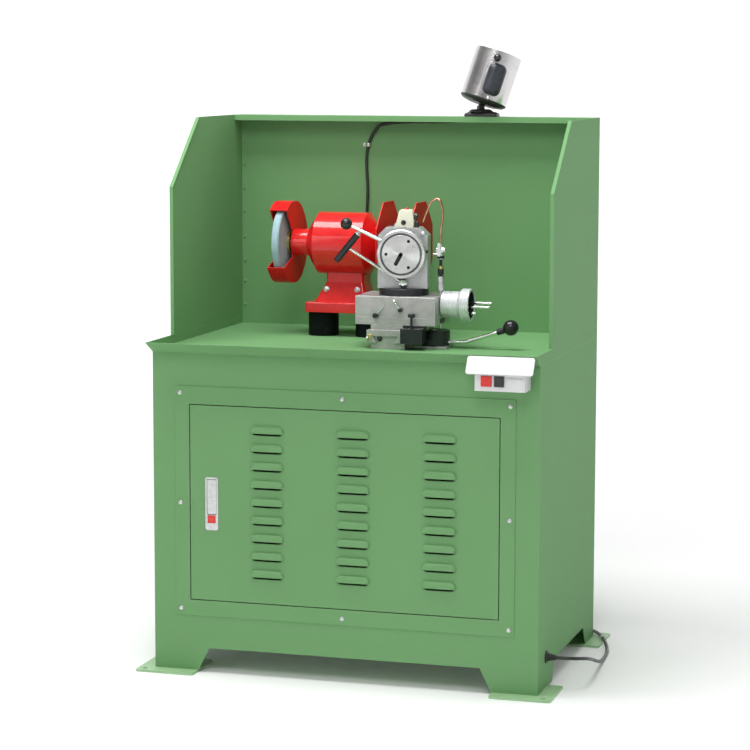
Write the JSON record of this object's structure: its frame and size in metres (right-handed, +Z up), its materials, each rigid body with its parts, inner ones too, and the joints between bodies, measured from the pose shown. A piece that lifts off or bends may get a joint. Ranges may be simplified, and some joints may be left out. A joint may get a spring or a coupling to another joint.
{
  "type": "drill bit sharpener",
  "caption": "Drill bit grinding machine on a sheet-metal cabinet: hooded tray, bench grinder with guards, cross slides with a swivelling drill holder, work lamp, louvred door.",
  "frame": {"origin": "on the floor at the centre of the four anchor holes", "axes": "+X to the right seen from the operator, -Y towards the operator, +Z up"},
  "size_m": [1.1379, 0.8658, 1.5843],
  "materials": {
    "green_panel": "light green semi-gloss paint",
    "green_tray": "light green semi-gloss paint",
    "red_casting": "gloss red enamel",
    "red_guard": "gloss red enamel on sheet steel",
    "ground_steel": "surface-ground steel",
    "cast_slide": "machined light grey iron",
    "bright_steel": "bright turned steel",
    "stainless": "brushed stainless sheet",
    "black_oxide": "satin black oxide",
    "black_plastic": "gloss black plastic",
    "white_plastic": "satin white plastic",
    "cream_plastic": "cream plastic",
    "red_plastic": "gloss red plastic",
    "green_grey_ball": "gloss pale plastic",
    "wheel_grit": "open-grained abrasive",
    "cable_black": "satin black sheath",
    "cable_grey": "satin dark sheath",
    "riser_rubber": "satin dark moulded rubber",
    "copper": "bright copper",
    "windings": "enamelled copper and iron laminations",
    "bulb_glass": "opal glass",
    "zinc": "zinc plated"
  },
  "bodies": {
    "cabinet": {"front_panel": "green_panel", "left_side_panel": "green_panel", "right_side_panel": "green_panel", "rear_panel": "green_panel", "cabinet_floor": "green_panel", "foot_plates": "green_panel", "door_frame": "green_panel", "frame_screws": "zinc", "tray": "green_tray", "hood_left_panel": "green_panel", "hood_right_panel": "green_panel", "hood_back_panel": "green_panel", "switch_cover": "white_plastic", "switch_box": "white_plastic", "lamp_base": "black_plastic", "lamp_cable": "cable_black", "riser_pads": "riser_rubber", "grinder_base": "red_casting", "motor_housing": "red_casting", "motor_stator": "windings", "spindle_bearings": "bright_steel", "left_guard": "red_guard", "right_guard": "red_guard", "slide_base": "cast_slide", "cord_gland": "black_plastic", "mains_cord": "cable_grey", "cord_coil": "cable_grey", "mains_plug": "black_plastic"},
    "door": {"door": "green_panel", "latch_body": "black_plastic"},
    "latch_paddle": {"latch_paddle": "black_plastic"},
    "latch_button": {"latch_button": "red_plastic"},
    "latch_bolt": {"latch_bolt": "zinc"},
    "start_button": {"start_button": "black_plastic"},
    "stop_button": {"stop_button": "red_plastic"},
    "lamp_pan": {"lamp_swivel": "black_oxide"},
    "lamp_head": {"lamp_shade": "stainless", "lamp_cap": "black_plastic", "lamp_bulb": "bulb_glass", "lamp_handle": "black_plastic"},
    "spindle": {"rotor_shaft": "bright_steel", "left_wheel": "wheel_grit", "right_wheel": "wheel_grit", "wheel_flanges": "zinc"},
    "saddle": {"saddle": "cast_slide"},
    "cross_slide": {"cross_slide": "cast_slide", "swivel_plate": "black_oxide", "coolant_pipe": "white_plastic", "copper_tube": "copper"},
    "feed_screw": {"lead_screw": "bright_steel", "feed_drum": "bright_steel"},
    "feed_lever": {"feed_hub": "black_oxide", "feed_lever": "bright_steel"},
    "drill_holder": {"holder_block": "ground_steel", "point_locator": "cream_plastic"},
    "chuck": {"chuck_spindle": "ground_steel", "face_plate": "ground_steel", "chuck_lever": "bright_steel"},
    "clamp": {"clamp_lever": "bright_steel"},
    "valve": {"valve_handle": "black_plastic"}
  },
  "joints": [
    {"name": "door_hinge", "type": "hinge", "parent": "cabinet", "child": "door", "pos_m": [0.391, -0.3305, 0.43], "axis": [0, 0, 1], "range_deg": [0, 110]},
    {"name": "latch_paddle_pull", "type": "hinge", "parent": "door", "child": "latch_paddle", "pos_m": [-0.343, -0.333, 0.494], "axis": [-1, 0, 0], "range_deg": [0, 40], "stiffness_Nm_per_rad": 0.05},
    {"name": "latch_bolt_slide", "type": "slide", "parent": "door", "child": "latch_bolt", "axis": [1, 0, 0], "range_m": [0, 0.0142]},
    {"name": "latch_button_press", "type": "slide", "parent": "door", "child": "latch_button", "axis": [0, 1, 0], "range_m": [0, 0.003], "stiffness_N_per_m": 300},
    {"name": "start_press", "type": "slide", "parent": "cabinet", "child": "start_button", "axis": [0, 1, 0], "range_m": [0, 0.004], "stiffness_N_per_m": 400},
    {"name": "stop_press", "type": "slide", "parent": "cabinet", "child": "stop_button", "axis": [0, 1, 0], "range_m": [0, 0.004], "stiffness_N_per_m": 400},
    {"name": "lamp_pan", "type": "hinge", "parent": "cabinet", "child": "lamp_pan", "pos_m": [0.186, 0.298, 1.41], "axis": [0, 0, 1], "range_deg": [-120, 120]},
    {"name": "lamp_tilt", "type": "hinge", "parent": "lamp_pan", "child": "lamp_head", "pos_m": [0.186, 0.298, 1.42], "axis": [-0.5592, 0.829, 0], "range_deg": [-45, 8]},
    {"name": "grinding_spindle", "type": "hinge", "parent": "cabinet", "child": "spindle", "pos_m": [-0.137, 0.13, 1.066], "axis": [1, 0, 0], "continuous": true},
    {"name": "feed_lever_swing", "type": "hinge", "parent": "cabinet", "child": "feed_lever", "pos_m": [0.167, -0.075, 0.848], "axis": [0, 0, 1], "range_deg": [-25, 25]},
    {"name": "saddle_travel", "type": "slide", "parent": "cabinet", "child": "saddle", "axis": [0, 1, 0], "range_m": [-0.0125, 0.0125]},
    {"name": "cross_travel", "type": "slide", "parent": "saddle", "child": "cross_slide", "axis": [1, 0, 0], "range_m": [-0.015, 0.015]},
    {"name": "feed_screw_turn", "type": "hinge", "parent": "cross_slide", "child": "feed_screw", "pos_m": [0.2, -0.08, 0.934], "axis": [1, 0, 0], "range_deg": [-1081, 1081]},
    {"name": "holder_swivel", "type": "hinge", "parent": "cross_slide", "child": "drill_holder", "pos_m": [0.085, -0.08, 1], "axis": [0, 0, 1], "range_deg": [-20, 20]},
    {"name": "chuck_turn", "type": "hinge", "parent": "drill_holder", "child": "chuck", "pos_m": [0.085, -0.08, 1.062], "axis": [-0.1392, 0.9903, 0], "range_deg": [0, 60]},
    {"name": "clamp_turn", "type": "hinge", "parent": "drill_holder", "child": "clamp", "pos_m": [0.09326, -0.11721, 0.987], "axis": [0.1392, -0.9903, 0], "range_deg": [0, 30]},
    {"name": "valve_turn", "type": "hinge", "parent": "cross_slide", "child": "valve", "pos_m": [0.181, -0.095, 1.064], "axis": [0, 1, 0], "range_deg": [0, 90]}
  ],
  "couplings": [
    {"joint": "latch_bolt_slide", "follows": "latch_paddle_pull", "m_per_rad": 0.02005},
    {"joint": "saddle_travel", "follows": "feed_lever_swing", "m_per_rad": -0.028},
    {"joint": "feed_screw_turn", "follows": "cross_travel", "rad_per_m": 1256.6}
  ]
}
